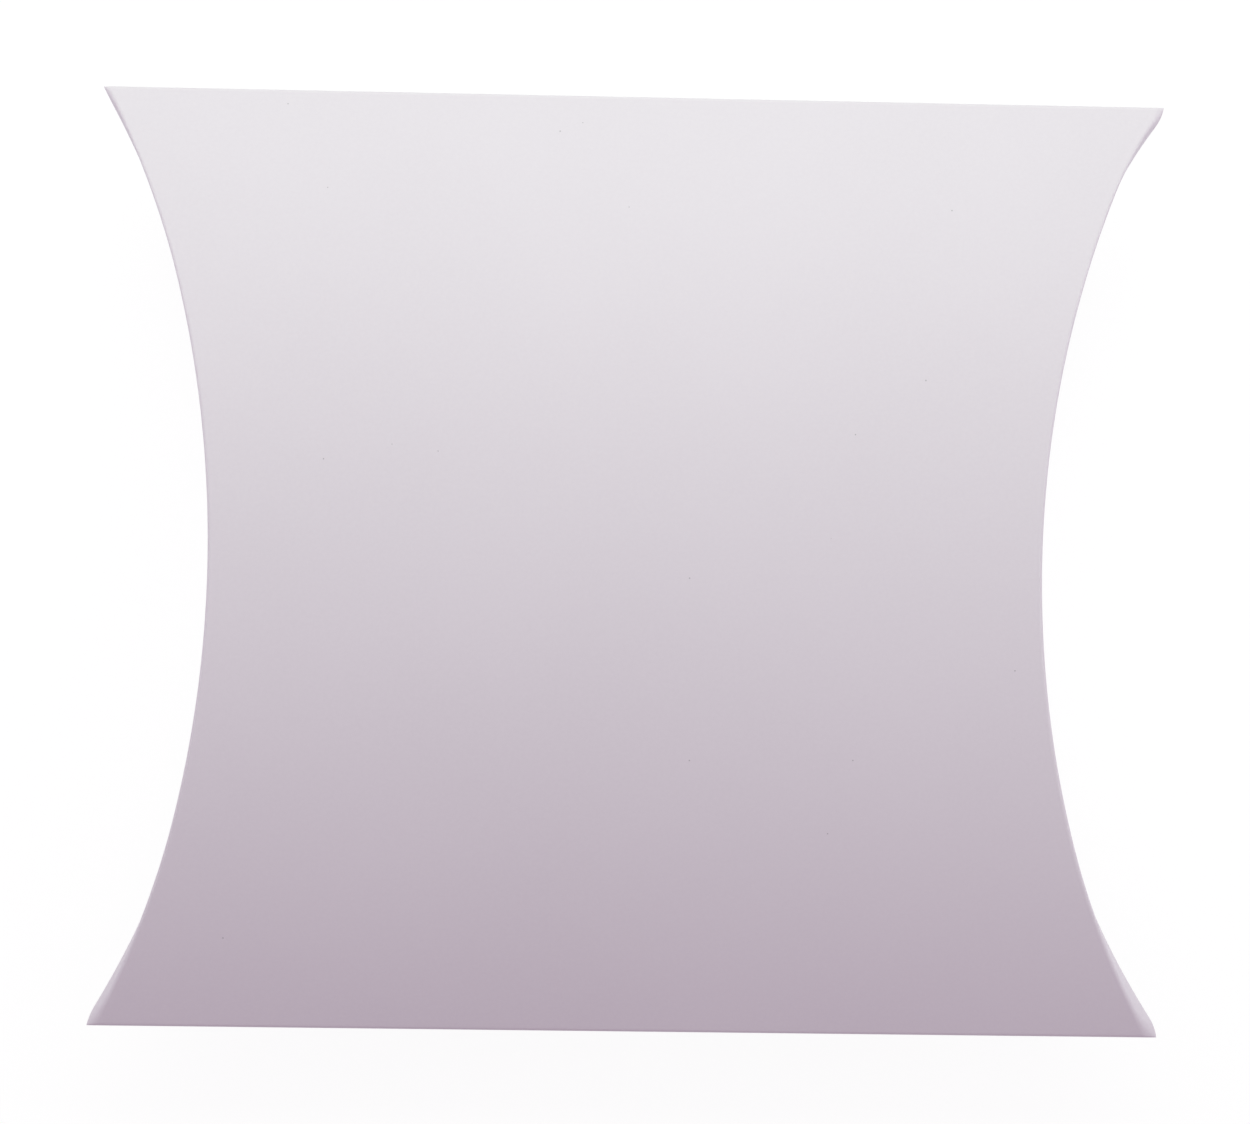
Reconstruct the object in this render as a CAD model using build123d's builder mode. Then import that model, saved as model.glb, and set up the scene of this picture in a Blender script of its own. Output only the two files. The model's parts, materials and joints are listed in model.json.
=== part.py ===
from build123d import *

import os
from math import sqrt

# A pillow box: one die-cut blank of pearl card, folded along straight and curved creases.
#
# Two bowed panels meet at a fold on each long side. Each panel ends in curved creases, and each
# crease carries an end flap. The front panel's flaps lie outside the back panel's, so they have
# the thumb notches. The front panel's free side is a tab, glued inside the back panel.
#
# X runs from end to end, Y from fold to fold and Z through the thickness. The box lies on the
# crown of its back panel, with the origin under its middle. Lengths are millimetres.

# Closed box
box_width = 102.6  # twice the distance from the middle to the outside of the side fold
box_depth = 25.4  # over the crowns of the two panels
corner_length = 114.3  # between the crease corners at a side fold
corner_horn = 1.0  # side fold past the crease corner

# Card and its creases
card = 0.4
crease_bevel = 0.4  # outer face of a curved crease, on each side of its sharp corner
crease_land = 0.4  # flat card on each side of the bevel
fold_bend = 0.15  # inside radius of a side fold
fold_leg = 1.6  # card of a side fold, across the box

# Glued seam
glue = 0.1
glue_width = 6.0
glue_inset = 2.5  # glue to the seam fold's leg
glue_end_gap = 5.0  # glue to each end of the tab's free edge
tab_width = 12.0
tab_end_gap = 7.15  # each end of the tab's root, short of the crease corner
tab_taper = 6.0  # how much each end of the tab slants, along the seam
raw_edge_inset = 0.25  # back panel's cut edge, short of the seam fold

# End flaps
flap_gap = 0.2  # between the outer and the inner flap
flap_side_gap = 0.2  # outer flap to the side folds
outer_edge_inset = 1.6  # outer flap's free edge, short of the back panel's crown
outer_tip_drop = 0.5  # outer flap's corners, past the plane of the folds
inner_rise = 2.5  # inner flap's free edge, past the plane of the folds
inner_tip_inset = 3.8  # inner flap's corners, from the outside of the side fold
inner_tip_drop = 0.2  # inner flap's corners, short of the plane of the folds
notch_radius = 7.5
notch_offset = 1.5  # centre of the thumb notch, past the outer flap's free edge
notch_corner = 1.2  # rounding where the notch meets the free edge

# Cutting bodies reach this far past what they cut
overrun = 6.0

# Derived sizes of the section
half_width = box_width / 2
half_depth = box_depth / 2
corner_y = half_width - fold_leg
crease_reach = crease_bevel + crease_land
inner_bevel = crease_bevel - card * (2 - sqrt(2))
fold_round = fold_bend + card

# The bow is the arc that touches the crown and the rounding of the side fold
bow = ((half_width - fold_round) ** 2 + half_depth**2 - fold_round**2) / (2 * (half_depth - fold_round))
bow_drop = bow - half_depth

# An end wall is an upright arc of the same radius, so its crease with a panel lies in one plane
wall_axis = corner_length / 2 + sqrt(bow**2 - half_width**2)
outer_wall = bow
inner_wall = bow + card + flap_gap

# The tab lies a card and a film of glue inside the back panel, so its fold is off the middle plane
tab_bow = bow - card - glue
seam_z = (bow - tab_bow) * (bow + tab_bow - 2 * fold_round) / (4 * bow_drop)
seam_y = sqrt((bow - fold_round) ** 2 - (seam_z + bow_drop) ** 2)
raw_edge_y = seam_y + fold_round - raw_edge_inset
tab_root_x = corner_length / 2 - tab_end_gap
tab_edge_x = tab_root_x - tab_taper

# Sizes of the cutting bodies
far_x = corner_length / 2 + corner_horn + overrun
far_y = half_width + overrun
far_z = half_depth + overrun

# Planes through the middle of the box: that of the side folds, and the one square to them
middle = Plane.XY.offset(half_depth)
section = Plane(origin=(0, 0, half_depth), x_dir=(0, 1, 0), z_dir=(1, 0, 0))


def save(name, piece):
    """Labels a finished piece and writes its file."""
    piece.part.label = name
    export_step(piece.part, "parts/" + name + ".step")


def band(outer_radius, thickness, low_y, high_y):
    """Section of bowed card above the middle plane, between two distances across the box."""
    with BuildSketch(section) as arc:
        with Locations((0, -bow_drop)):
            Circle(outer_radius)
            Circle(outer_radius - thickness, mode=Mode.SUBTRACT)
        with Locations(((low_y + high_y) / 2, 0)):
            Rectangle(high_y - low_y, far_z, align=(Align.CENTER, Align.MIN), mode=Mode.INTERSECT)
    return arc.sketch


def past_crease(wall_radius, along):
    """All that lies past the right front crease, cut square through the bend of the card.

    along moves the cut on, down the flap, or back over the panel if it is negative.
    """
    crease_plane = Plane(
        origin=(wall_axis - wall_radius, 0, box_depth),
        x_dir=(1, 0, -1),
        z_dir=(1, 0, 1),
    )
    with BuildPart() as cutter:
        with BuildSketch(crease_plane):
            with Locations(((2 * bow + along) / sqrt(2), 0)):
                Ellipse(sqrt(2) * bow, bow)
        extrude(amount=far_x, both=True)
    return cutter.part


def bevelled_space(bow_radius, wall_radius, bevel, margin):
    """The space under the front bow and inside the right end wall, with its crease bevelled."""
    bevel_plane = Plane(
        origin=(wall_axis - wall_radius - bevel, 0, half_depth + bow_radius - bow_drop),
        z_dir=(1, 0, 1),
    )
    with BuildPart() as space:
        with BuildSketch(section):
            with Locations((0, -bow_drop)):
                Circle(bow_radius)
            Rectangle(2 * (far_y + margin), 2 * (far_z + margin), mode=Mode.INTERSECT)
        extrude(amount=far_x)
        with Locations((wall_axis, 0, half_depth)):
            Cylinder(wall_radius, 2 * (far_z + margin + overrun), mode=Mode.SUBTRACT)
        split(bisect_by=bevel_plane, keep=Keep.BOTTOM)
    return space.part


def make_panel(name, wall_radius, low_y, high_y, is_back):
    """A bowed panel, from side to side and from one curved crease to the other."""
    right_end = past_crease(wall_radius, -crease_reach)
    with BuildPart() as panel:
        extrude(band(bow, card, low_y, high_y), amount=far_x, both=True)
        add(right_end, mode=Mode.SUBTRACT)
        add(right_end.mirror(Plane.YZ), mode=Mode.SUBTRACT)
        if is_back:
            mirror(about=middle, mode=Mode.REPLACE)
    save(name, panel)


def make_side_fold():
    """The fold where the front panel turns into the back panel."""
    with BuildPart() as side_fold:
        with BuildSketch(section) as ring:
            with Locations((0, -bow_drop)):
                Circle(bow)
            with Locations((0, bow_drop)):
                Circle(bow, mode=Mode.INTERSECT)
            fillet(ring.vertices(), fold_round)
            offset(amount=-card, mode=Mode.SUBTRACT)
            with Locations((corner_y, 0)):
                Rectangle(far_y, 2 * far_z, align=(Align.MIN, Align.CENTER), mode=Mode.INTERSECT)
        extrude(amount=corner_length / 2 + corner_horn, both=True)
    save("side_fold", side_fold)


def make_seam_fold():
    """The fold where the front panel turns into the glue tab, just above the back panel."""
    with BuildPart() as seam_fold:
        with BuildSketch(section) as ring:
            with Locations((0, -bow_drop)):
                Circle(bow)
            with Locations((0, bow_drop)):
                Circle(tab_bow, mode=Mode.INTERSECT)
            fillet(ring.vertices(), fold_round)
            offset(amount=-card, mode=Mode.SUBTRACT)
            with Locations((-corner_y, 0)):
                Rectangle(far_y, 2 * far_z, align=(Align.MAX, Align.CENTER), mode=Mode.INTERSECT)
        extrude(amount=corner_length / 2 + corner_horn, both=True)
    save("seam_fold", seam_fold)


def make_glue_tab():
    """The tab inside the back panel, from the seam fold inwards, with tapered ends."""
    edge_y = tab_width - corner_y
    with BuildPart() as glue_tab:
        extrude(band(tab_bow, card, -corner_y, edge_y), amount=far_x, both=True)
        with BuildSketch(middle):
            with BuildLine():
                Polyline(
                    (-tab_root_x, -corner_y),
                    (tab_root_x, -corner_y),
                    (tab_edge_x, edge_y),
                    (-tab_edge_x, edge_y),
                    close=True,
                )
            make_face()
        extrude(amount=far_z, mode=Mode.INTERSECT)
        mirror(about=middle, mode=Mode.REPLACE)
    save("glue_tab", glue_tab)


def make_glue_line():
    """The film of glue between the tab and the back panel."""
    near_y = glue_inset - corner_y
    film = band(bow - card, glue, near_y, near_y + glue_width)
    with BuildPart() as glue_line:
        extrude(film, amount=tab_edge_x - glue_end_gap, both=True)
        mirror(about=middle, mode=Mode.REPLACE)
    save("glue_line", glue_line)


def make_creases(word, wall_radius, is_back):
    """The bent strips of card between a panel and its two flaps."""
    outside = bevelled_space(bow, wall_radius, crease_bevel, 0)
    inside = bevelled_space(bow - card, wall_radius + card, inner_bevel, overrun)
    panel_side = past_crease(wall_radius, -crease_reach)
    flap_side = past_crease(wall_radius, crease_reach)
    for side in ("right", "left"):
        with BuildPart() as crease:
            add(outside)
            add(inside, mode=Mode.SUBTRACT)
            add(panel_side, mode=Mode.INTERSECT)
            add(flap_side, mode=Mode.SUBTRACT)
            with BuildSketch(middle):
                Rectangle(2 * far_x, 2 * corner_y)
            extrude(amount=far_z, both=True, mode=Mode.INTERSECT)
            if side == "left":
                mirror(about=Plane.YZ, mode=Mode.REPLACE)
            if is_back:
                mirror(about=middle, mode=Mode.REPLACE)
        save(word + "_" + side + "_crease", crease)


def flap_outline(tip_y, tip_z, edge_z, is_notched):
    """Outline of a flap that hangs from the front panel, seen from its end, open at the top."""
    with BuildSketch(section) as outline:
        with BuildLine():
            edge = ThreePointArc((-tip_y, tip_z), (0, edge_z), (tip_y, tip_z))
            Polyline(edge @ 1, (tip_y, far_z), (-tip_y, far_z), edge @ 0)
        make_face()
        if is_notched:
            with Locations((0, edge_z - notch_offset)):
                Circle(notch_radius, mode=Mode.SUBTRACT)
            fillet(outline.vertices().filter_by(lambda corner: abs(corner.Y) < notch_radius), notch_corner)
    return outline.sketch


def make_flaps(word, wall_radius, outline, is_back):
    """The two end flaps of a panel, each an upright curved wall with an arc for its free edge."""
    flap_side = past_crease(wall_radius, crease_reach)
    for side in ("right", "left"):
        with BuildPart() as flap:
            with BuildSketch(middle):
                with Locations((wall_axis, 0)):
                    Circle(wall_radius + card)
                    Circle(wall_radius, mode=Mode.SUBTRACT)
            extrude(amount=far_z, both=True)
            extrude(outline, amount=far_x, mode=Mode.INTERSECT)
            add(flap_side, mode=Mode.INTERSECT)
            if side == "left":
                mirror(about=Plane.YZ, mode=Mode.REPLACE)
            if is_back:
                mirror(about=middle, mode=Mode.REPLACE)
        save(side + "_" + word, flap)


def main():
    os.makedirs("parts", exist_ok=True)
    make_panel("front_panel", outer_wall, -corner_y, corner_y, False)
    make_panel("back_panel", inner_wall, -raw_edge_y, corner_y, True)
    make_side_fold()
    make_seam_fold()
    make_glue_tab()
    make_glue_line()
    make_creases("front", outer_wall, False)
    make_creases("back", inner_wall, True)

    outer_tip_y = corner_y - flap_side_gap
    outer_outline = flap_outline(outer_tip_y, -outer_tip_drop, outer_edge_inset - half_depth, True)
    make_flaps("outer_flap", outer_wall, outer_outline, False)
    inner_tip_y = half_width - inner_tip_inset
    inner_outline = flap_outline(inner_tip_y, inner_tip_drop, -inner_rise, False)
    make_flaps("inner_flap", inner_wall, inner_outline, True)

    print("bow radius", round(bow, 3))
    print("outer flap hinges at x", round(wall_axis - outer_wall, 4), "z", box_depth)
    print("inner flap hinges at x", round(wall_axis - inner_wall, 4), "z", 0)


main()
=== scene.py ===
import json
import math

import bpy
import numpy as np
from mathutils import Matrix, Vector


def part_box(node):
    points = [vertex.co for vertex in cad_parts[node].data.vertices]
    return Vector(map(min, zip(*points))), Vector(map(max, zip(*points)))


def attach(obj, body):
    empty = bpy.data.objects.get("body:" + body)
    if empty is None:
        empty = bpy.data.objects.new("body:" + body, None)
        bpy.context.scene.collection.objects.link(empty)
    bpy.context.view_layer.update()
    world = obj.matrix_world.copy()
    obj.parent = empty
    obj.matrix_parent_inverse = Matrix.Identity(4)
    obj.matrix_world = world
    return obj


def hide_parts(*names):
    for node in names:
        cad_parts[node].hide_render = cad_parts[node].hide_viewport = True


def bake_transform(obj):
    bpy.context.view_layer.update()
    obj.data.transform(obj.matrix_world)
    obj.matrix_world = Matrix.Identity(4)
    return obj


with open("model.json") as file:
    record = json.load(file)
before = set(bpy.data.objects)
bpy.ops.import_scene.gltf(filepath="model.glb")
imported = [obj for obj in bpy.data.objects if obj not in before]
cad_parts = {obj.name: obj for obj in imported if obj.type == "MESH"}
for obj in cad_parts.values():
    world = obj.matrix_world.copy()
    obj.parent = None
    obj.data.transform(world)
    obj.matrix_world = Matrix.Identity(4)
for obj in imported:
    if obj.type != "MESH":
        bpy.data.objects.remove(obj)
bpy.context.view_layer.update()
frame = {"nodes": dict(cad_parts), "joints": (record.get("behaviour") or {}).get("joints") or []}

# The looks of the pillow box. Each piece of card is a thin shell, built on the same arcs as the CAD
# solids, with rounded creases, and drawn out at the four corners as the photographed box is.
# Lengths are metres unless a comment says otherwise, and the box lies on its back panel's crown
# with its front up. Most points are made about the middle of the box, and are moved up to their
# height in the frame when they are placed.

mm = 0.001

# Camera: how far off it is, its lens and sensor in mm, and how the photographed box is turned and
# shifted in front of it
camera_distance = 0.7
camera_lens = 184.6
camera_sensor = 36
box_pitch = math.radians(-0.75)
box_yaw = math.radians(-0.87)
box_roll = math.radians(-0.92)
box_shift_x = 0.12 * mm
box_shift_y = -0.46 * mm

# Card, glue and the roundings of the outer faces. A crease's rounding is at most crease_share of
# the panel's height above the plane of the side folds, and at least crease_least.
card = 0.4 * mm
glue = 0.1 * mm
fold_round = 0.55 * mm
crease_round = 0.5 * mm
crease_share = 0.7
crease_least = 0.05 * mm

# Free edges of the flaps and the outer flap's thumb notch, as in the CAD source
outer_edge_inset = 1.6 * mm
outer_tip_drop = 0.5 * mm
inner_rise = 2.5 * mm
inner_tip_drop = 0.2 * mm
notch_radius = 7.5 * mm
notch_offset = 1.5 * mm
notch_corner = 1.2 * mm

# The tab's tapered ends, and their rounded corners: how far a corner is cut back along X, and over
# which share of the tab's width
tab_taper = 6.0 * mm
tab_corner = 1.5 * mm
tab_corner_share = 0.12

# The drawn-out corners of the end walls, all in mm: how far the wall leans out at the fold, how far
# along Y the lean goes, how much of it the rounded tip takes away again, and last the share of it
# that the crease itself is pulled out by
corner_leans = {
    ("right", "fold"): (1.72, 9.4, 0.7, 0.5),
    ("left", "fold"): (0.98, 19.5, 0.1, 0.5),
    ("right", "seam"): (2.1, 19.0, 0.65, 0.25),
    ("left", "seam"): (1.7, 21.5, 0.42, 0.3),
}

# How a lean runs: the power by which it eases in along Y, how far the rounded tip goes in mm, the
# rounding of its ridge at the plane of the side folds, and the least wall height that it is spread on
lean_ease = 1.5
tip_reach = 2.2
ridge_round = 0.4 * mm
lean_least_height = 0.1 * mm

# Width that the box loses towards its right end and gains towards its left, as a share, for each
# metre from the middle
narrowing = 0.111

# How far the right end is askew: the shift along X of a point at a side fold, inwards at +Y and
# outwards at -Y, that is as far out as the crown of the crease. It grows with that distance squared.
right_skew = 0.16 * mm

# Mesh steps. Columns are more crowded towards the side folds, by this share of a sine.
panel_columns = 200
panel_rows = 90
column_crowding = 0.55
bend_rows = 12
bend_substeps = 8
wall_rows = 8
flap_rows = 44
notch_columns = 121
fold_leg_steps = 7
fold_turn_steps = 25
fold_rows = 60
fold_least_height = 0.01 * mm
tab_columns = 40
tab_rows = 80
sharp_angle = math.radians(50)

# Colours of the materials, and how much of the lighter grain or fibre shows
pearl_dark = (0.80, 0.755, 0.805)
pearl_light = (0.82, 0.775, 0.825)
pearl_grain = (0.86, 0.82, 0.865)
pearl_grain_share = 0.25
dust_colour = (0.56, 0.53, 0.57)
inside_dark = (0.80, 0.775, 0.775)
inside_light = (0.84, 0.815, 0.81)
inside_fibre = (0.88, 0.865, 0.855)
inside_fibre_share = 0.35
edge_dark = (0.74, 0.705, 0.71)
edge_light = (0.84, 0.82, 0.81)
glue_dark = (0.74, 0.71, 0.60)
glue_light = (0.82, 0.80, 0.72)

# Surroundings: the world's light, the floor's grey for light that reaches the box and for the
# camera, and its glow, which is white from glow_far outwards and a little less near the box
world_colour = (1, 0.81, 0.965)
world_strength = 0.41
floor_reach = 3.0
floor_grey = 0.8
floor_seen_grey = 0.12
glow_near = 0.12
glow_far = 0.45
glow_near_level = 0.92

# Sizes read from the frame
joints = {joint["name"]: joint for joint in frame["joints"]}
outer_x = joints["right_outer_hinge"]["pos_m"][0]
inner_x = joints["right_inner_hinge"]["pos_m"][0]
depth = joints["right_outer_hinge"]["pos_m"][2]
half_depth = depth / 2
half_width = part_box("side_fold")[1].y
corner_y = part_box("front_panel")[1].y
raw_edge_y = -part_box("back_panel")[0].y
inner_tip_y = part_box("right_inner_flap")[1].y
tab_edge_y = -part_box("glue_tab")[1].y
tab_root_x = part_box("glue_tab")[1].x

# The bow of the panels and the end walls, as in the CAD source
bow_reach = half_width - fold_round
bow = (bow_reach**2 + half_depth**2 - fold_round**2) / (2 * (half_depth - fold_round))
bow_drop = bow - half_depth
wall_axis = outer_x + bow
outer_wall = bow
inner_wall = wall_axis - inner_x
walls = {"front": outer_wall, "back": inner_wall}
tab_bow = bow - card - glue

# Middle of the box, which the camera and the lamps are placed about
middle = Vector((0, 0, half_depth))


def bow_height(y, radius=bow):
    """Height of the bowed card above the plane of the side folds."""
    return np.sqrt(radius**2 - np.square(y)) - bow_drop


def wall_x(y, radius):
    """Distance of an end wall from the middle of the box."""
    return wall_axis - np.sqrt(radius**2 - np.square(y))


def fold_centre(lower_radius):
    """Centre of a fold's rounding, between the front bow and a lower bow."""
    height = (bow - lower_radius) * (bow + lower_radius - 2 * fold_round) / (4 * bow_drop)
    across = math.sqrt((bow - fold_round) ** 2 - (height + bow_drop) ** 2)
    return across, height


# How far out the seam fold reaches
seam_edge = fold_centre(tab_bow)[0] + fold_round


def lean(side, y):
    """How far a corner is drawn out, at the plane of the side folds and at the crease."""
    total = np.zeros_like(y)
    pulled = np.zeros_like(y)
    for end, from_edge in (("fold", half_width - y), ("seam", seam_edge + y)):
        width, reach, tip, pull = corner_leans[side, end]
        away = np.maximum(from_edge / mm, 0)
        eased = width * np.maximum(1 - away / reach, 0) ** lean_ease
        rounded = tip * np.square(np.maximum(1 - away / tip_reach, 0))
        total += (eased - rounded) * mm
        pulled += (eased - rounded) * mm * pull
    return total, pulled


def bend_curve(steps):
    """Points of a right-angled bend that starts and ends without a kink, from (0, 0) to (1, -1)."""
    share = np.linspace(0, 1, bend_substeps * steps + 1)
    angle = math.pi / 2 * share * share * (3 - 2 * share)
    middle_angle = (angle[1:] + angle[:-1]) / 2
    across = np.concatenate([[0], np.cumsum(np.cos(middle_angle))])
    down = np.concatenate([[0], np.cumsum(np.sin(middle_angle))])
    return across[::bend_substeps] / across[-1], -down[::bend_substeps] / down[-1]


def crease_size(height, inset):
    """Size of a crease's rounding, smaller where the panel comes down to the side folds."""
    return np.maximum(np.minimum(crease_round, crease_share * height) - inset, crease_least)


def over_crease(height, wall, inset):
    """x and z of the rounded crease, down its rows, between a panel at height and a wall."""
    across, down = bend_curve(bend_rows)
    size = np.minimum(crease_size(height + inset, inset), height)
    return wall - size + across[:, None] * size, height + down[:, None] * size


def rounded_height(z):
    """Distance from the plane of the side folds, with its kink at the plane rounded."""
    return np.sqrt(np.square(z) + ridge_round**2) - ridge_round


def lean_out(x, y, z, height, side):
    """Leans an end wall out, most at the plane of the side folds, and stacks the coordinates."""
    full = rounded_height(np.maximum(height, lean_least_height))
    share = np.clip(1 - rounded_height(z) / full, 0, 1)
    total, pulled = lean(side, y)
    return np.stack([x + pulled + (total - pulled) * share, y, z], axis=-1)


def place(points, side, face):
    """Puts points made for the right front of the box on their side and face, in the frame."""
    placed = points.copy()
    if side == "left":
        placed[..., 0] *= -1
    if face == "back":
        placed[..., 2] *= -1
    askew = np.square(np.maximum(placed[..., 0], 0) / outer_x)
    placed[..., 0] -= right_skew * askew * placed[..., 1] / half_width
    placed[..., 1] *= 1 - narrowing * placed[..., 0]
    placed[..., 2] += half_depth
    return placed


def card_shell(name, surface, side="right", face="front", bends=False):
    """A closed shell of card. surface(inset) gives the grid of its outer or, inset, its inner face.

    Card that bends with a joint is made of its outer face alone, and is thickened once it is bent.
    """
    outside = place(surface(0), side, face)
    inside = place(surface(card), side, face)
    rows, columns = outside.shape[:2]
    row, column = rows // 2, columns // 2
    down = outside[row + 1, column] - outside[row - 1, column]
    across = outside[row, column + 1] - outside[row, column - 1]
    outward = np.dot(np.cross(across, down), outside[row, column] - inside[row, column]) > 0
    count = rows * columns
    vertices = outside.reshape(-1, 3)
    index = np.arange(count).reshape(rows, columns)
    quads = (index[:-1, :-1], index[:-1, 1:], index[1:, 1:], index[1:, :-1])
    faces = np.stack(quads, axis=-1).reshape(-1, 4)
    slots = np.zeros(len(faces))
    if not bends:
        vertices = np.concatenate([vertices, inside.reshape(-1, 3)])
        border = np.concatenate([index[0, :], index[1:, -1], index[-1, -2::-1], index[-2:0:-1, 0]])
        following = np.roll(border, -1)
        rim = np.stack([border + count, following + count, following, border], axis=-1)
        slots = np.concatenate([slots, slots + 1, np.full(len(rim), 2)])
        faces = np.concatenate([faces, faces[:, ::-1] + count, rim])
    if not outward:
        faces = faces[:, ::-1]
    mesh = bpy.data.meshes.new(name)
    mesh.from_pydata(vertices.tolist(), [], faces.tolist())
    for material in (pearl, inside_card, cut_edge):
        mesh.materials.append(material)
    mesh.polygons.foreach_set("material_index", slots.astype(np.int32))
    mesh.validate()
    mesh.shade_smooth()
    mesh.set_sharp_from_angle(angle=sharp_angle)
    piece = bpy.data.objects.new(name, mesh)
    bpy.context.scene.collection.objects.link(piece)
    if bends:
        sides = np.zeros(len(mesh.loops), dtype=np.int32)
        mesh.loops.foreach_get("edge_index", sides)
        mesh.edges.foreach_set("use_edge_sharp", np.bincount(sides) == 1)
        thick = piece.modifiers.new("card", "SOLIDIFY")
        thick.thickness = card
        thick.offset = -1
        thick.use_even_offset = True
        thick.material_offset = 1
        thick.material_offset_rim = 2
    return piece


def columns_between(low, high, count):
    """Places across the box, closer together towards the side folds."""
    turn = np.linspace(-math.pi / 2, math.pi / 2, count)
    even = turn / (math.pi / 2)
    share = 0.5 + 0.5 * (column_crowding * np.sin(turn) + (1 - column_crowding) * even)
    return low + (high - low) * share


def make_panel(word, low_y, high_y):
    """A bowed panel between its two curved creases."""
    wall = walls[word]
    y = columns_between(low_y, high_y, panel_columns)

    def surface(inset):
        height = bow_height(y, bow - inset)
        reach = over_crease(height, wall_x(y, wall + inset), inset)[0][0]
        left, right = -reach - lean("left", y)[1], reach + lean("right", y)[1]
        x = left + (right - left) * np.linspace(0, 1, panel_rows)[:, None]
        return np.stack([x, np.broadcast_to(y, x.shape), np.broadcast_to(height, x.shape)], axis=-1)

    piece = card_shell(word + "_panel_card", surface, "right", word)
    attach(piece, "box")
    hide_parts(word + "_panel")


def make_crease(word, side):
    """The rounded crease between a panel and its flap."""
    wall = walls[word]
    y = columns_between(-corner_y, corner_y, panel_columns)

    def surface(inset):
        height = bow_height(y, bow - inset)
        x, z = over_crease(height, wall_x(y, wall + inset), inset)
        return lean_out(x, np.broadcast_to(y, x.shape), z, height, side)

    node = word + "_" + side + "_crease"
    piece = card_shell(node + "_card", surface, side, word)
    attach(piece, "box")
    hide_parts(node)


def edge_arc(y, tip_y, tip_z, middle_z):
    """Height of a free edge that is an arc through its two corners and its middle."""
    rise = tip_z - middle_z
    radius = (tip_y**2 + rise**2) / (2 * rise)
    return middle_z + radius - np.sqrt(radius**2 - np.square(y))


def notch_height(y, edge_z):
    """Free edge across the thumb notch: its round top, and a rounded corner at each side."""
    centre_z = edge_z - notch_offset
    corner_z = edge_z + notch_corner
    corner_middle_y = math.sqrt((notch_radius + notch_corner) ** 2 - (corner_z - centre_z) ** 2)
    touch_y = corner_middle_y * notch_radius / (notch_radius + notch_corner)
    y = np.abs(y)
    top = centre_z + np.sqrt(np.maximum(notch_radius**2 - y**2, 0))
    corner = corner_z - np.sqrt(np.maximum(notch_corner**2 - (corner_middle_y - y) ** 2, 0))
    return np.where(y < touch_y, top, np.where(y < corner_middle_y, corner, edge_z))


def make_flap(word, side):
    """An end flap: an upright curved wall from its crease to its free edge."""
    wall = walls[word]
    kind = "outer" if word == "front" else "inner"
    if kind == "outer":
        tip_y, tip_z, middle_z = corner_y, -outer_tip_drop, outer_edge_inset - half_depth
        notch_reach = notch_radius + notch_corner
        plain = columns_between(-tip_y, tip_y, panel_columns)
        across_notch = np.linspace(-notch_reach, notch_reach, notch_columns)
        y = np.sort(np.concatenate([plain[np.abs(plain) > notch_reach], across_notch]))
        free_z = np.maximum(edge_arc(y, tip_y, tip_z, middle_z), notch_height(y, middle_z))
    else:
        tip_y, tip_z, middle_z = inner_tip_y, inner_tip_drop, -inner_rise
        y = columns_between(-tip_y, tip_y, panel_columns)
        free_z = edge_arc(y, tip_y, tip_z, middle_z)

    def surface(inset):
        height = bow_height(y, bow - inset)
        crease_x, crease_z = over_crease(height, wall_x(y, wall + inset), inset)
        share = np.linspace(0, 1, flap_rows)[:, None]
        z = crease_z[-1] + (free_z - crease_z[-1]) * share
        x = np.broadcast_to(crease_x[-1], z.shape)
        return lean_out(x, np.broadcast_to(y, z.shape), z, height, side)

    node = side + "_" + kind + "_flap"
    piece = card_shell(node + "_card", surface, side, word, bends=True)
    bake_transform(piece)
    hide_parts(node)


def make_fold(node, sign, lower_radius):
    """A side fold: card that follows the front bow, turns over and follows the lower bow back.

    sign is 1 for the fold at +Y and -1 for the one at -Y.
    """
    centre_y, centre_z = fold_centre(lower_radius)
    upper_angle = math.asin(centre_y / (bow - fold_round))
    lower_angle = math.asin(centre_y / (lower_radius - fold_round))

    def section(inset):
        upper_end = (bow - inset) * math.sin(upper_angle)
        lower_end = (lower_radius - inset) * math.sin(lower_angle)
        upper_y = np.linspace(corner_y, upper_end, fold_leg_steps)[:-1]
        turn = np.linspace(math.pi / 2 - upper_angle, lower_angle - math.pi / 2, fold_turn_steps)
        radius = fold_round - inset
        lower_y = np.linspace(lower_end, corner_y, fold_leg_steps)[1:]
        y = np.concatenate([upper_y, centre_y + radius * np.cos(turn), lower_y])
        upper_z = bow_height(upper_y, bow - inset)
        lower_z = -bow_height(lower_y, lower_radius - inset)
        z = np.concatenate([upper_z, centre_z + radius * np.sin(turn), lower_z])
        return y, z

    def end(inset, side):
        y, z = section(inset)
        height = np.maximum(np.abs(z), fold_least_height)
        past_corner = np.clip((y - corner_y) / card, 0, 1)
        # The lower half begins at the inner wall and comes out to the outer one past the corner
        setback = np.where(z < 0, (outer_x - inner_x) * (1 - past_corner), 0)
        wall = wall_x(y, outer_wall + inset) - setback
        bend_x, bend_z = over_crease(height, wall, inset)
        share = np.linspace(0, 1, wall_rows + 1)[1:, None]
        x = np.concatenate([bend_x, np.broadcast_to(wall, (wall_rows, len(y)))])
        down = np.concatenate([bend_z, bend_z[-1] * (1 - share)])
        points = lean_out(x, np.broadcast_to(y * sign, x.shape), down, height, side)
        points[..., 2] *= np.where(z < 0, -1, 1)
        return points

    def surface(inset):
        right = end(inset, "right")
        left = end(inset, "left")[::-1] * np.array([-1, 1, 1])
        share = np.linspace(0, 1, fold_rows)[1:-1, None, None]
        between = left[-1] + (right[0] - left[-1]) * share
        return np.concatenate([left, between, right])

    piece = card_shell(node + "_card", surface)
    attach(piece, "box")
    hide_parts(node)


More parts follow.
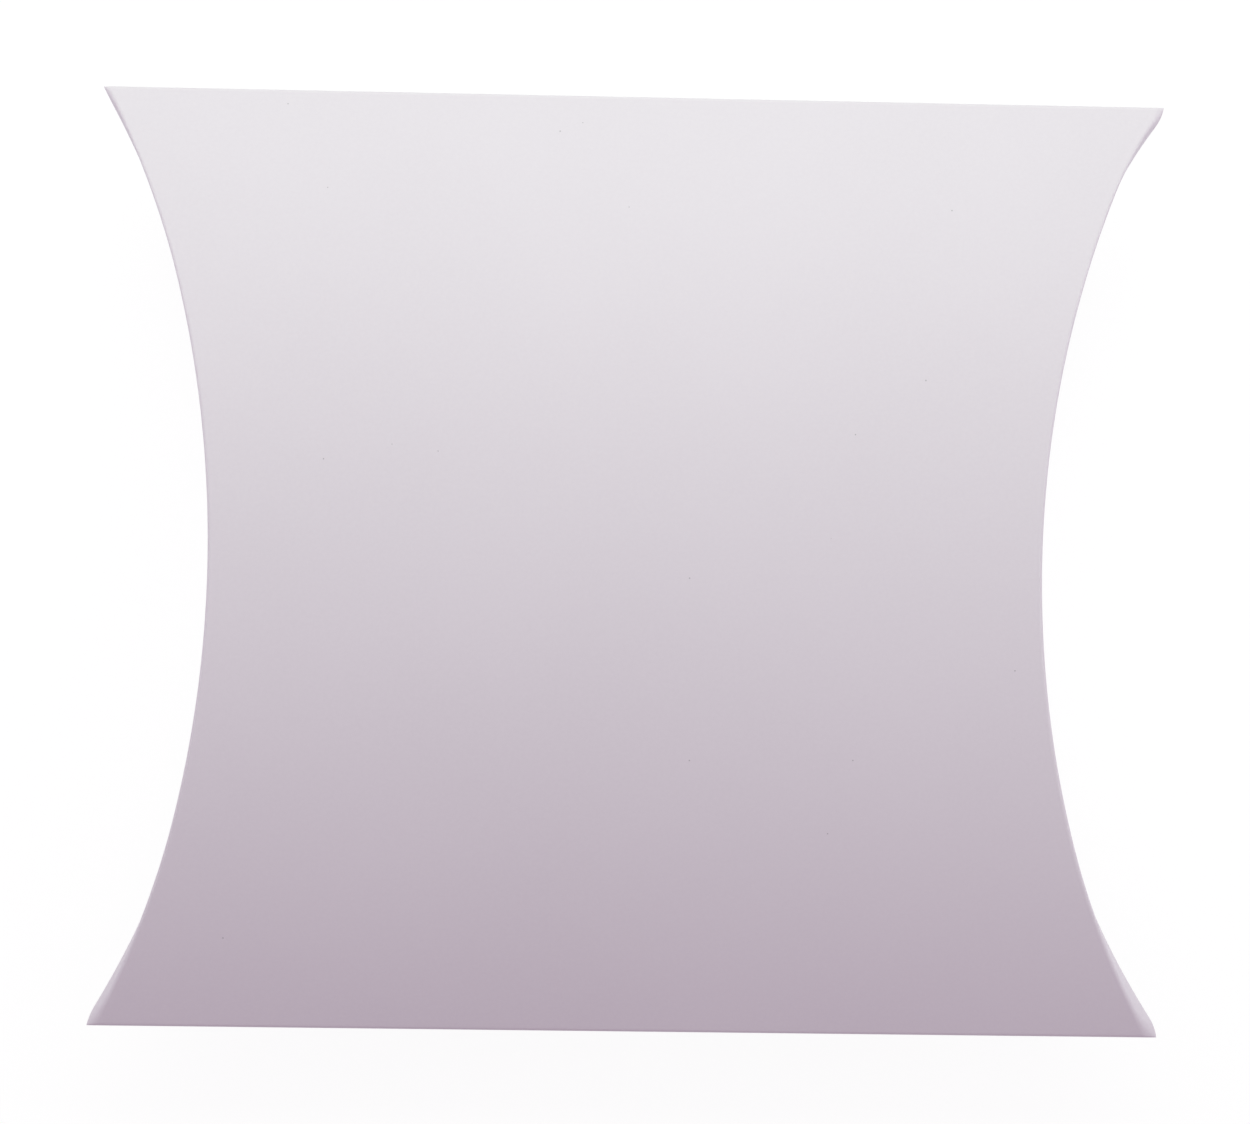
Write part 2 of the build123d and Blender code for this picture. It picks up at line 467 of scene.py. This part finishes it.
def make_tab():
    """The glue tab, bowed with the back panel just inside it."""
    y = np.linspace(-corner_y, -tab_edge_y, tab_columns)
    share = (y + corner_y) / (corner_y - tab_edge_y)
    past_corner = np.clip((share - 1 + tab_corner_share) / tab_corner_share, 0, 1)
    cut_back = tab_corner * (1 - np.sqrt(1 - past_corner**2))
    reach = tab_root_x - tab_taper * share - cut_back
    x = np.linspace(-1, 1, tab_rows)[:, None] * reach

    def surface(inset):
        across = np.broadcast_to(y, x.shape)
        return np.stack([x, across, bow_height(across, tab_bow - inset)], axis=-1)

    piece = card_shell("glue_tab_card", surface, "right", "back")
    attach(piece, "box")
    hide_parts("glue_tab")


class Nodes:
    """A material's node tree, with short calls to add and join nodes."""

    def __init__(self, name):
        self.material = bpy.data.materials.new(name)
        self.material.use_nodes = True
        self.tree = self.material.node_tree
        self.shader = self.tree.nodes["Principled BSDF"]
        self.place = self.add("ShaderNodeTexCoord").outputs["Object"]

    def add(self, kind, **settings):
        node = self.tree.nodes.new(kind)
        for key, value in settings.items():
            setattr(node, key, value)
        return node

    def join(self, source, target):
        self.tree.links.new(source, target)

    def noise(self, scale, detail=2.0, rough=0.5, stretch=(1, 1, 1)):
        """Noise of that many cells to the metre, stretched along an axis where stretch is small."""
        mapping = self.add("ShaderNodeMapping")
        mapping.inputs["Scale"].default_value = stretch
        self.join(self.place, mapping.inputs["Vector"])
        noise = self.add("ShaderNodeTexNoise")
        noise.inputs["Scale"].default_value = scale
        noise.inputs["Detail"].default_value = detail
        noise.inputs["Roughness"].default_value = rough
        self.join(mapping.outputs["Vector"], noise.inputs["Vector"])
        return noise.outputs["Fac"]

    def spread(self, value, low, high, from_low=0.3, from_high=0.7):
        """Maps a value onto a range."""
        node = self.add("ShaderNodeMapRange")
        node.inputs["From Min"].default_value = from_low
        node.inputs["From Max"].default_value = from_high
        node.inputs["To Min"].default_value = low
        node.inputs["To Max"].default_value = high
        self.join(value, node.inputs["Value"])
        return node.outputs["Result"]

    def mix(self, share, first, second):
        """Mixes two colours, each given as numbers or as another node's output."""
        node = self.add("ShaderNodeMix", data_type="RGBA")
        self.join(share, node.inputs[0])
        for socket, colour in ((node.inputs[6], first), (node.inputs[7], second)):
            if isinstance(colour, tuple):
                socket.default_value = (*colour, 1)
            else:
                self.join(colour, socket)
        return node.outputs[2]

    def math(self, operation, first, second):
        node = self.add("ShaderNodeMath", operation=operation)
        for socket, value in zip(node.inputs, (first, second)):
            if isinstance(value, (int, float)):
                socket.default_value = value
            else:
                self.join(value, socket)
        return node.outputs[0]

    def bump(self, height, strength, distance, normal=None):
        node = self.add("ShaderNodeBump")
        node.inputs["Strength"].default_value = strength
        node.inputs["Distance"].default_value = distance
        self.join(height, node.inputs["Height"])
        if normal is not None:
            self.join(normal, node.inputs["Normal"])
        return node.outputs["Normal"]

    def specks(self, scale, size, rarity):
        """1 on a few tiny round specks, and 0 elsewhere."""
        cells = self.add("ShaderNodeTexVoronoi")
        cells.inputs["Scale"].default_value = scale
        self.join(self.place, cells.inputs["Vector"])
        near = self.math("LESS_THAN", cells.outputs["Distance"], size * scale)
        split = self.add("ShaderNodeSeparateColor")
        self.join(cells.outputs["Color"], split.inputs["Color"])
        rare = self.math("GREATER_THAN", split.outputs["Red"], rarity)
        return self.math("MULTIPLY", near, rare)


def pearl_material():
    """Smooth lilac-white card with a satin pearl coat, faint fibres and a few specks of dust."""
    nodes = Nodes("pearl_card")
    shader = nodes.shader
    cloud = nodes.spread(nodes.noise(28, detail=3), low=0, high=1)
    grain = nodes.spread(nodes.noise(2600), low=0, high=1)
    base = nodes.mix(cloud, pearl_dark, pearl_light)
    lighter = nodes.mix(nodes.math("MULTIPLY", grain, pearl_grain_share), base, pearl_grain)
    dust = nodes.specks(400, size=0.09 * mm, rarity=0.8)
    nodes.join(nodes.mix(dust, lighter, dust_colour), shader.inputs["Base Color"])
    gloss = nodes.spread(nodes.noise(900), low=0.56, high=0.64)
    nodes.join(gloss, shader.inputs["Roughness"])
    shader.inputs["Specular IOR Level"].default_value = 0.3
    shader.inputs["Coat Weight"].default_value = 0.05
    shader.inputs["Coat Roughness"].default_value = 0.45
    fibre = nodes.noise(700, detail=3, rough=0.6, stretch=(0.35, 1, 1))
    fibres = nodes.bump(fibre, strength=0.05, distance=0.12 * mm)
    fine = nodes.bump(nodes.noise(3200, detail=1), strength=0.05, distance=0.05 * mm, normal=fibres)
    nodes.join(fine, shader.inputs["Normal"])
    return nodes.material


def inside_material():
    """The uncoated inner face of the card: matte, a little warmer, with visible fibres."""
    nodes = Nodes("inside_card")
    shader = nodes.shader
    cloud = nodes.spread(nodes.noise(60, detail=4), low=0, high=1)
    streaks = nodes.noise(1400, detail=3, rough=0.6, stretch=(0.25, 1, 1))
    fibre = nodes.spread(streaks, low=0, high=1)
    base = nodes.mix(cloud, inside_dark, inside_light)
    colour = nodes.mix(nodes.math("MULTIPLY", fibre, inside_fibre_share), base, inside_fibre)
    nodes.join(colour, shader.inputs["Base Color"])
    matte = nodes.spread(fibre, low=0.78, high=0.92, from_low=0, from_high=1)
    nodes.join(matte, shader.inputs["Roughness"])
    shader.inputs["Specular IOR Level"].default_value = 0.3
    coarse = nodes.noise(1100, detail=4, rough=0.65, stretch=(0.3, 1, 1))
    nodes.join(nodes.bump(coarse, strength=0.16, distance=0.15 * mm), shader.inputs["Normal"])
    return nodes.material


def edge_material():
    """The cut edge of the card: raw fibres in thin layers."""
    nodes = Nodes("cut_edge")
    shader = nodes.shader
    layers = nodes.spread(nodes.noise(5200, stretch=(0.2, 0.2, 1)), low=0, high=1)
    nodes.join(nodes.mix(layers, edge_dark, edge_light), shader.inputs["Base Color"])
    matte = nodes.spread(layers, low=0.8, high=0.95, from_low=0, from_high=1)
    nodes.join(matte, shader.inputs["Roughness"])
    shader.inputs["Specular IOR Level"].default_value = 0.25
    nodes.join(nodes.bump(layers, strength=0.3, distance=0.06 * mm), shader.inputs["Normal"])
    return nodes.material


def glue_material():
    """Dried glue: slightly yellow and cloudy, with a soft shine."""
    nodes = Nodes("dried_glue")
    shader = nodes.shader
    cloud = nodes.spread(nodes.noise(500, detail=3), low=0, high=1)
    nodes.join(nodes.mix(cloud, glue_dark, glue_light), shader.inputs["Base Color"])
    nodes.join(nodes.spread(nodes.noise(300), low=0.25, high=0.45), shader.inputs["Roughness"])
    ripples = nodes.noise(400, detail=3)
    nodes.join(nodes.bump(ripples, strength=0.3, distance=0.2 * mm), shader.inputs["Normal"])
    return nodes.material


def add_camera():
    """Looks down on the front panel as the photograph does."""
    roll = Matrix.Rotation(box_roll, 3, "Z")
    yaw = Matrix.Rotation(box_yaw, 3, "Y")
    pitch = Matrix.Rotation(box_pitch, 3, "X")
    back = (roll @ yaw @ pitch).transposed()
    data = bpy.data.cameras.new("photo_camera")
    data.lens = camera_lens
    data.sensor_width = camera_sensor
    camera = bpy.data.objects.new("photo_camera", data)
    camera.matrix_world = back.to_4x4()
    camera.location = back @ Vector((-box_shift_x, -box_shift_y, camera_distance)) + middle
    bpy.context.scene.collection.objects.link(camera)
    bpy.context.scene.camera = camera


def add_lamp(name, size, distance, azimuth, elevation, power, colour):
    """A soft rectangular lamp aimed at the box, its power in watts. Azimuth 0 is +Y, 90 is +X."""
    data = bpy.data.lights.new(name, "AREA")
    data.shape = "RECTANGLE"
    data.size, data.size_y = size
    data.energy = power
    data.color = colour
    lamp = bpy.data.objects.new(name, data)
    turn, rise = math.radians(azimuth), math.radians(elevation)
    towards = Vector((math.sin(turn) * math.cos(rise), math.cos(turn) * math.cos(rise), math.sin(rise)))
    lamp.location = towards * distance + middle
    lamp.rotation_mode = "QUATERNION"
    lamp.rotation_quaternion = towards.to_track_quat("Z", "Y")
    bpy.context.scene.collection.objects.link(lamp)


def shown_white(tree, seen, other):
    """Shader that is one for what the camera and reflections see, and the other for what lights."""
    path = tree.nodes.new("ShaderNodeLightPath")
    either = tree.nodes.new("ShaderNodeMath")
    either.operation = "MAXIMUM"
    tree.links.new(path.outputs["Is Camera Ray"], either.inputs[0])
    tree.links.new(path.outputs["Is Glossy Ray"], either.inputs[1])
    every = tree.nodes.new("ShaderNodeMath")
    every.operation = "MAXIMUM"
    tree.links.new(either.outputs[0], every.inputs[0])
    tree.links.new(path.outputs["Is Transmission Ray"], every.inputs[1])
    mix = tree.nodes.new("ShaderNodeMixShader")
    tree.links.new(every.outputs[0], mix.inputs[0])
    tree.links.new(other, mix.inputs[1])
    tree.links.new(seen, mix.inputs[2])
    return mix.outputs[0]


def add_world():
    """A world that looks white and lights the box from all round."""
    world = bpy.data.worlds.new("studio")
    bpy.context.scene.world = world
    world.use_nodes = True
    tree = world.node_tree
    lit = tree.nodes["Background"]
    lit.inputs["Color"].default_value = (*world_colour, 1)
    lit.inputs["Strength"].default_value = world_strength
    white = tree.nodes.new("ShaderNodeBackground")
    white.inputs["Color"].default_value = (1, 1, 1, 1)
    white.inputs["Strength"].default_value = 1
    output = tree.nodes["World Output"]
    tree.links.new(shown_white(tree, white.outputs[0], lit.outputs[0]), output.inputs["Surface"])


def floor_material():
    """A floor that looks white, with a faint shadow, and gives grey light back to the box."""
    material = bpy.data.materials.new("white_floor")
    material.use_nodes = True
    tree = material.node_tree
    tree.nodes.remove(tree.nodes["Principled BSDF"])
    plain = tree.nodes.new("ShaderNodeBsdfDiffuse")
    plain.inputs["Color"].default_value = (floor_grey, floor_grey, floor_grey, 1)
    faint = tree.nodes.new("ShaderNodeBsdfDiffuse")
    faint.inputs["Color"].default_value = (floor_seen_grey, floor_seen_grey, floor_seen_grey, 1)
    glow = tree.nodes.new("ShaderNodeEmission")
    where = tree.nodes.new("ShaderNodeTexCoord")
    away = tree.nodes.new("ShaderNodeVectorMath")
    away.operation = "LENGTH"
    tree.links.new(where.outputs["Object"], away.inputs[0])
    level = tree.nodes.new("ShaderNodeMapRange")
    level.interpolation_type = "SMOOTHSTEP"
    level.inputs["From Min"].default_value = glow_near
    level.inputs["From Max"].default_value = glow_far
    level.inputs["To Min"].default_value = glow_near_level
    level.inputs["To Max"].default_value = 1.0
    tree.links.new(away.outputs["Value"], level.inputs["Value"])
    tree.links.new(level.outputs["Result"], glow.inputs["Strength"])
    both = tree.nodes.new("ShaderNodeAddShader")
    tree.links.new(faint.outputs[0], both.inputs[0])
    tree.links.new(glow.outputs[0], both.inputs[1])
    output = tree.nodes["Material Output"]
    tree.links.new(shown_white(tree, both.outputs[0], plain.outputs[0]), output.inputs["Surface"])
    return material


def add_floor():
    """A square floor that the box lies on."""
    material = floor_material()
    mesh = bpy.data.meshes.new("floor")
    corners = [(x * floor_reach, y * floor_reach, 0) for x, y in ((-1, -1), (1, -1), (1, 1), (-1, 1))]
    mesh.from_pydata(corners, [], [(0, 1, 2, 3)])
    mesh.materials.append(material)
    floor = bpy.data.objects.new("floor", mesh)
    bpy.context.scene.collection.objects.link(floor)


add_camera()
add_world()
add_floor()
add_lamp(
    "key", size=(0.6, 0.2), distance=0.3, azimuth=0, elevation=45,
    power=0.785, colour=(0.84, 1.0, 0.855),
)
add_lamp(
    "right_side", size=(0.8, 0.3), distance=0.6, azimuth=90, elevation=15,
    power=0.7, colour=(0.92, 0.91, 1.0),
)
add_lamp(
    "left_side", size=(0.8, 0.3), distance=0.6, azimuth=270, elevation=15,
    power=0.46, colour=(0.9, 0.82, 1.0),
)

pearl = pearl_material()
inside_card = inside_material()
cut_edge = edge_material()
dried_glue = glue_material()

make_panel("front", -corner_y, corner_y)
make_panel("back", -raw_edge_y, corner_y)
for word in ("front", "back"):
    for side in ("right", "left"):
        make_crease(word, side)
        make_flap(word, side)
make_fold("side_fold", 1, bow)
make_fold("seam_fold", -1, tab_bow)
make_tab()
frame["nodes"]["glue_line"].data.materials.clear()
frame["nodes"]["glue_line"].data.materials.append(dried_glue)

bpy.context.scene.view_settings.view_transform = "Standard"
